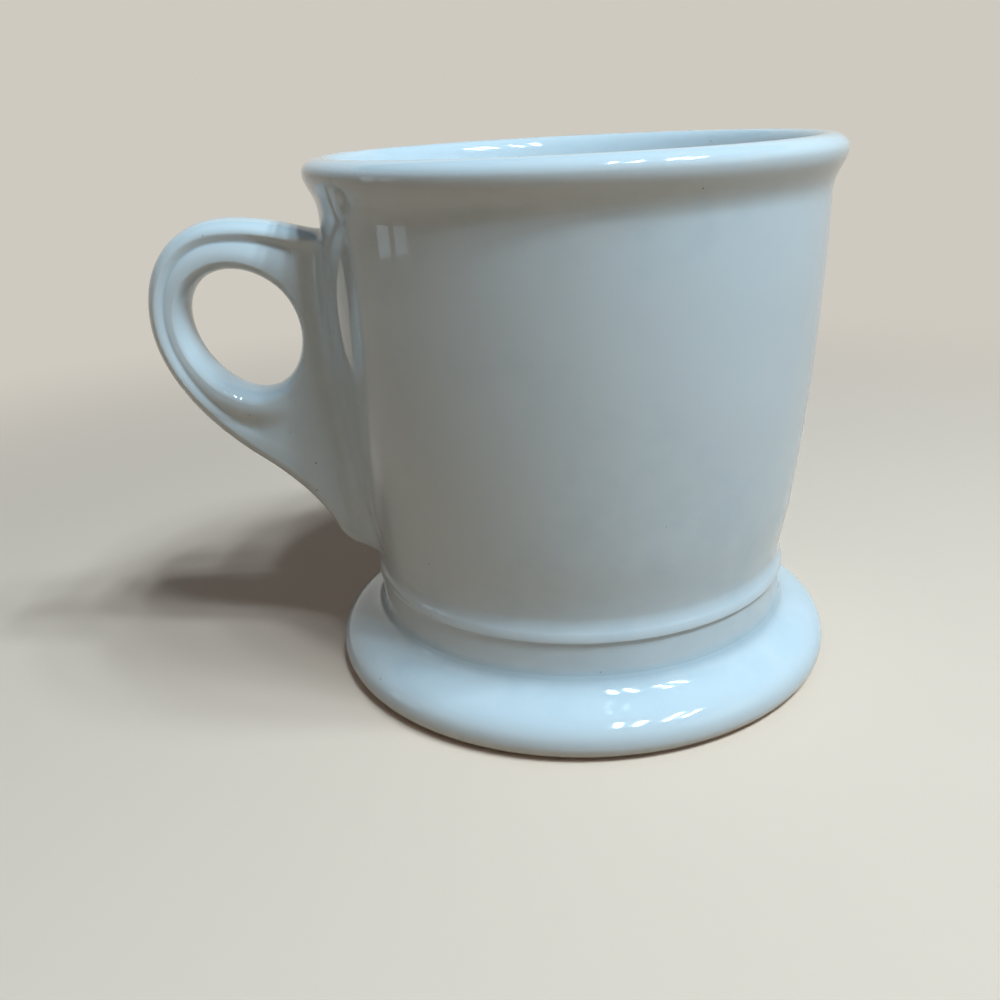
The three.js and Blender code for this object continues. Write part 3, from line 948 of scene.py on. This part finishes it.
def glaze_group():
    """Node group for a glaze: darker hollows that are partly painted shade, thin places, clouding,
    specks and an uneven skin.
    """
    group = bpy.data.node_groups.new("Poured glaze", "ShaderNodeTree")
    for way, kind, labels in (
        ("INPUT", "NodeSocketFloat", ("Depth", "Dry", "Roughness")),
        ("INPUT", "NodeSocketColor", GLAZE_COLOURS),
        ("OUTPUT", "NodeSocketColor", ("Color",)),
        ("OUTPUT", "NodeSocketFloat", ("Roughness", "Height")),
    ):
        for label in labels:
            group.interface.new_socket(label, in_out=way, socket_type=kind)
    wiring = Wiring(group)
    worked, spread, blended = wiring.worked, wiring.spread, wiring.blended
    given = wiring.add("NodeGroupInput").outputs
    spot = wiring.coords()

    # Where the glaze is thick or thin, with painted shade in the hollows
    clouds = wiring.noise(spot, CLOUD_SCALE, 3.0)
    mottle = wiring.noise(spot, MOTTLE_SCALE, 4.0)
    uneven = spread(mottle, *NOISE_SPAN, -MOTTLE_DEPTH, MOTTLE_DEPTH)
    uneven = worked("ADD", given["Depth"], uneven)
    uneven = worked("ADD", uneven, spread(clouds, *NOISE_SPAN, -CLOUD_DEPTH, CLOUD_DEPTH))
    # Hollows take the darker colour, which is partly painted shade
    colour = blended(spread(uneven, 0.0, 1.0), given["Glaze"], given["Pooled_and_shade"])
    colour = blended(spread(uneven, 0.0, -1.0), colour, given["Thin"])

    # Specks of several sizes in some of the cells
    cells = wiring.add("ShaderNodeTexVoronoi", {"Vector": spot, "Scale": SPECK_SCALE}).outputs
    draw = wiring.add("ShaderNodeSeparateColor", {"Color": cells["Color"]}).outputs
    chosen = spread(draw["Red"], *SPECK_DRAW)
    size = spread(draw["Green"], 0.0, 1.0, *SPECK_SIZES)
    within = spread(worked("SUBTRACT", size, cells["Distance"]), 0.0, SPECK_EDGE)
    speck = worked("MULTIPLY", within, chosen)
    colour = blended(speck, colour, given["Speck"])
    colour = blended(given["Dry"], colour, given["Clay"])

    # Specks and bare clay are rougher than the glaze, and specks are small pits
    rough = worked("ADD", given["Roughness"], spread(mottle, *NOISE_SPAN, -0.012, 0.02))
    rough = worked("ADD", rough, worked("MULTIPLY", speck, 0.25))
    rough = worked("ADD", rough, worked("MULTIPLY", given["Dry"], 0.55))
    peel = worked("MULTIPLY", wiring.noise(spot, PEEL_SCALE, 1.0), 0.012)
    height = worked("ADD", wiring.noise(spot, WAVE_SCALE, 1.5), peel)
    height = worked("SUBTRACT", height, worked("MULTIPLY", speck, 0.12))
    wiring.add("NodeGroupOutput", {"Color": colour, "Roughness": rough, "Height": height})
    return group


def glaze_material(name, look):
    """The white glaze, with bare clay on the dry standing ring."""
    material, wiring, shader = new_material(name)
    inputs = {label: colour_of(getattr(look, label.lower())) for label in GLAZE_COLOURS}
    inputs["Roughness"] = look.roughness
    for label, attribute in (("Depth", "glaze_depth_and_shade"), ("Dry", "dry_ring")):
        stored = wiring.add("ShaderNodeAttribute", attribute_name=attribute)
        inputs[label] = stored.outputs["Fac"]
    glaze = wiring.add("ShaderNodeGroup", inputs, node_tree=glaze_group()).outputs
    wiring.feed(shader.inputs["Base Color"], glaze["Color"])
    wiring.feed(shader.inputs["Roughness"], glaze["Roughness"])
    wiring.feed(shader.inputs["Normal"], wiring.bumped(glaze["Height"], 1.0, SKIN_DEPTH))
    shader.inputs["IOR"].default_value = GLAZE_IOR
    return material


def clay_material(name, look):
    """Fired slip with a fine grain."""
    material, wiring, shader = new_material(name)
    grain = wiring.noise(wiring.coords(), GRAIN_SCALE, 5.0)
    dark = [value * 0.86 for value in look.clay]
    light = [min(1.0, value * 1.1) for value in look.clay]
    colour = wiring.ramp(grain, (NOISE_SPAN[0], dark), (NOISE_SPAN[1], light))
    wiring.feed(shader.inputs["Base Color"], colour)
    wiring.feed(shader.inputs["Normal"], wiring.bumped(grain, 0.5, GRAIN_DEPTH))
    shader.inputs["Roughness"].default_value = SLIP_ROUGHNESS
    return material


def shared_glaze(look):
    name = "White glaze"
    return bpy.data.materials.get(name) or glaze_material(name, look)


def turn_piece(mug, profile, name, node):
    """Turns a glazed piece from its profile."""
    bm = turned(profile, mug.cup.turns)
    # The crease over the foot gets the darker colour of hollows, which paints its shade
    mark_glaze_depth_and_shade(bm, off_crease, CREASE_POOL_AND_SHADE)
    mark_dry_ring(bm)
    finish_piece(bm, name, shared_glaze(mug.glaze), node)


# Operators


class MUG_OT_build_cup(Operator):
    """Turn the cup with its collar, wall, rolled lip and inside"""

    bl_idname = "mug.build_cup"
    bl_label = "Build the cup"

    def execute(self, context):
        mug = context.scene.footed_mug
        turn_piece(mug, cup_profile(mug.cup), "glazed_cup", "cup_body")
        return {"FINISHED"}


class MUG_OT_build_foot(Operator):
    """Turn the bell-shaped foot with its standing ring and hollow underside"""

    bl_idname = "mug.build_foot"
    bl_label = "Build the foot"

    def execute(self, context):
        mug = context.scene.footed_mug
        profile = foot_profile(mug.foot, mug.cup.collar_radius)
        turn_piece(mug, profile, "bell_foot", "foot")
        return {"FINISHED"}


class MUG_OT_build_handle(Operator):
    """Skin the ring handle over its sections and run its root into the wall"""

    bl_idname = "mug.build_handle"
    bl_label = "Build the handle"

    def execute(self, context):
        mug = context.scene.footed_mug
        shape = HandleShape(mug.handle, mug.cup)
        bm = handle_body(shape)
        sink_root(bm, shape)
        # Hollows of the handle, such as its groove, get a darker colour that is partly painted
        # shade
        mark_glaze_depth_and_shade(bm, lambda spot: blend(*WALL_FADE, wall_distance(mug.cup, spot)))
        finish_piece(bm, "ring_handle", shared_glaze(mug.glaze), "handle", 1)
        return {"FINISHED"}


class MUG_OT_build_joints(Operator):
    """Lay the slip in the two joints, under the collar and behind the handle"""

    bl_idname = "mug.build_joints"
    bl_label = "Build the slip joints"

    def execute(self, context):
        mug = context.scene.footed_mug
        profile = crease_profile(mug.cup, mug.foot)
        turn_piece(mug, profile, "foot_crease_slip", "foot_slip_joint")
        bm = slip_pad(HandleShape(mug.handle, mug.cup))
        clay = clay_material("Fired slip", mug.glaze)
        finish_piece(bm, "handle_root_slip", clay, "handle_slip_joint")
        return {"FINISHED"}


# The stage, in metres

FLOOR_RADIUS, BOWL_RADIUS, BOWL_CURVE, BOWL_HEIGHT = 0.9, 1.5, 0.6, 1.2
BOWL_STEPS = 96
PAPER_FADE = (0.11, 0.34)  # distances over which the paper goes over into the backdrop
SKY_SPAN = (0.15, 0.95)  # heights of the light's direction between horizon and sky
HORIZON_SHARE = 0.55  # strength of the light from the sides
AIM = Vector((AXIS_X, -0.03, 0.03))  # what the lamps face
PANE_WAYS = (("Left", Vector((0.22, -0.36, 0.91))), ("Right", Vector((0.48, -0.22, 0.845))))
PANE_DISTANCE = 0.75
PANE_COLUMN = 0.045  # half the distance between a window's two columns
PANE_ROWS = (-0.072, -0.034, 0.036, 0.07)
PANE_SIZE = (0.036, 0.02)
PANE_COUNT = 2 * len(PANE_WAYS) * len(PANE_ROWS)
# Each strip has its name, its place in depth, its height and its share of the power
STRIPS = (("Left_strip_long", 0.005, 0.17, 0.62), ("Left_strip_short", -0.08, 0.13, 0.38))
STRIP_DISTANCE, STRIP_WIDTH, STRIP_LOW = 0.5, 0.06, 0.005
SOFTBOX_OFFSET = Vector((0.8, -0.5, 0.35))
SOFTBOX_SIZE = (0.6, 0.6)
CAMERA_SPOT = (AXIS_X - 0.018495, -0.175965, 0.095855)
CAMERA_TURNS = (0.83, 21.714, -3.091)  # degrees to the right, downwards and round the view
CAMERA_OPTICS = {
    "sensor_width": 36.0, "lens": 36.122, "shift_x": 0.0079, "shift_y": 0.0089, "clip_start": 0.01,
}


def paper_material(name, look):
    """Pale paper that catches the shadow and goes over into an even backdrop."""
    material, wiring, shader = new_material(name)
    shader.inputs["Roughness"].default_value = 0.95
    shader.inputs["Specular IOR Level"].default_value = 0.1
    distance = wiring.add("ShaderNodeVectorMath", {0: wiring.coords()}, operation="LENGTH")
    far = wiring.spread(distance.outputs["Value"], *PAPER_FADE, kind="SMOOTHSTEP")
    path = wiring.add("ShaderNodeLightPath").outputs
    seen = path["Is Camera Ray"]
    for label in ("Is Glossy Ray", "Is Transmission Ray"):
        seen = wiring.worked("MAXIMUM", seen, path[label])
    paper = wiring.blended(seen, colour_of(look.bounce), colour_of(look.floor))
    wiring.feed(shader.inputs["Base Color"], paper)
    glow = wiring.add("ShaderNodeEmission", {"Color": colour_of(look.backdrop)})
    shown = wiring.worked("MULTIPLY", seen, far)
    surface = wiring.add("ShaderNodeMixShader", {
        "Fac": shown, 1: shader.outputs["BSDF"], 2: glow.outputs["Emission"],
    })
    output = material.node_tree.nodes["Material Output"]
    wiring.feed(output.inputs["Surface"], surface.outputs["Shader"])
    return material


def soft_world(name, look):
    """Even light from all round, cooler and stronger from above."""
    world = bpy.data.worlds.new(name)
    world.use_nodes = True
    wiring = Wiring(world.node_tree)
    rise = wiring.add("ShaderNodeSeparateXYZ", {"Vector": wiring.coords("Generated")}).outputs["Z"]
    low = [value * HORIZON_SHARE for value in look.horizon]
    light = wiring.ramp(rise, (SKY_SPAN[0], low), (SKY_SPAN[1], look.sky), kind="EASE")
    background = world.node_tree.nodes["Background"]
    wiring.feed(background.inputs["Color"], light)
    background.inputs["Strength"].default_value = look.fill
    return world


def lay_floor(look):
    """The floor, which bends up into a round backdrop. Its faces look up and inwards."""
    line = [place(0, 0), place(FLOOR_RADIUS / 3, 0), place(FLOOR_RADIUS, 0)]
    line += corner(
        line[-1], place(BOWL_RADIUS, 0), place(BOWL_RADIUS, BOWL_CURVE), 24, ROUND_CURVE
    )
    line.append(place(BOWL_RADIUS, BOWL_HEIGHT))
    bm = turned(line, BOWL_STEPS)
    bmesh.ops.reverse_faces(bm, faces=[face for face in bm.faces if face.normal.z < 0])
    mesh_object(bm, "studio_bowl", paper_material("Pale paper", look))


def add_lamp(name, spot, target, size, watts, colour):
    """A soft rectangular lamp that faces a target."""
    data = bpy.data.lights.new(name, "AREA")
    data.shape = "RECTANGLE"
    data.size, data.size_y = size
    data.energy = watts
    data.color = colour
    lamp = bpy.data.objects.new(name, data)
    lamp.location = spot
    lamp.rotation_euler = (target - spot).to_track_quat("-Z", "Y").to_euler()
    lamp.visible_camera = False
    bpy.context.scene.collection.objects.link(lamp)


def hang_lamps(look):
    """Two windows of eight panes above, two strips at the left and a softbox at the right."""
    for side, way in PANE_WAYS:
        for column in (-1, 1):
            for row, depth in enumerate(PANE_ROWS):
                spot = AIM + way * PANE_DISTANCE + Vector((column * PANE_COLUMN, depth, 0.0))
                name = f"Pane_{side}_{column + 1}{row}"
                add_lamp(name, spot, AIM, PANE_SIZE, look.key / PANE_COUNT, look.sky)
    for name, y, high, share in STRIPS:
        spot = Vector((AXIS_X - STRIP_DISTANCE, y, STRIP_LOW + high / 2))
        target = spot + Vector((1, 0, 0))
        add_lamp(name, spot, target, (STRIP_WIDTH, high), look.strip * share, look.sky)
    add_lamp("Side_softbox", AIM + SOFTBOX_OFFSET, AIM, SOFTBOX_SIZE, look.side, look.sky)


def set_camera(scene):
    """The camera that shows the mug as the photograph does."""
    data = bpy.data.cameras.new("Camera")
    for name, value in CAMERA_OPTICS.items():
        setattr(data, name, value)
    camera = bpy.data.objects.new("Camera", data)
    yaw, pitch, roll = (math.radians(angle) for angle in CAMERA_TURNS)
    level = Vector((math.cos(yaw), -math.sin(yaw), 0.0))
    ahead = Vector((math.sin(yaw), math.cos(yaw), 0.0)) * math.cos(pitch)
    ahead.z = -math.sin(pitch)
    above = level.cross(ahead)
    right = level * math.cos(roll) + above * math.sin(roll)
    up = above * math.cos(roll) - level * math.sin(roll)
    turn = Matrix((right, up, -ahead)).transposed().to_4x4()
    camera.matrix_world = Matrix.Translation(CAMERA_SPOT) @ turn
    scene.collection.objects.link(camera)
    scene.camera = camera


class MUG_OT_build_stage(Operator):
    """Lay the pale floor with its round backdrop, and set the lamps and the camera"""

    bl_idname = "mug.build_stage"
    bl_label = "Build the stage"

    def execute(self, context):
        scene = context.scene
        look = scene.footed_mug.stage
        scene.view_settings.view_transform = "Standard"
        lay_floor(look)
        scene.world = soft_world("Studio", look)
        hang_lamps(look)
        set_camera(scene)
        return {"FINISHED"}


class MUG_PT_sidebar(Panel):
    """Sidebar panel with the mug's operators and settings"""

    bl_label = "Footed coffee mug"
    bl_idname = "MUG_PT_sidebar"
    bl_space_type = "VIEW_3D"
    bl_region_type = "UI"
    bl_category = "Mug"

    def draw(self, context):
        mug = context.scene.footed_mug
        for operator in OPERATORS:
            self.layout.operator(operator.bl_idname)
        for title in ("Cup", "Foot", "Handle", "Glaze", "Stage"):
            group = getattr(mug, title.lower())
            box = self.layout.box()
            box.label(text=title)
            for name in group.__annotations__:
                box.prop(group, name)


OPERATORS = (
    MUG_OT_build_cup,
    MUG_OT_build_foot,
    MUG_OT_build_handle,
    MUG_OT_build_joints,
    MUG_OT_build_stage,
)
CLASSES = (
    MugCupSizes, MugFootSizes, MugHandleSizes, MugGlazeLook, MugStageLook, MugSettings,
    *OPERATORS, MUG_PT_sidebar,
)


def register():
    for cls in CLASSES:
        bpy.utils.register_class(cls)
    bpy.types.Scene.footed_mug = PointerProperty(type=MugSettings)


def unregister():
    del bpy.types.Scene.footed_mug
    for cls in reversed(CLASSES):
        bpy.utils.unregister_class(cls)


def main():
    register()
    bpy.ops.mug.build_cup()
    bpy.ops.mug.build_foot()
    bpy.ops.mug.build_handle()
    bpy.ops.mug.build_joints()
    bpy.ops.mug.build_stage()


if __name__ == "__main__":
    main()
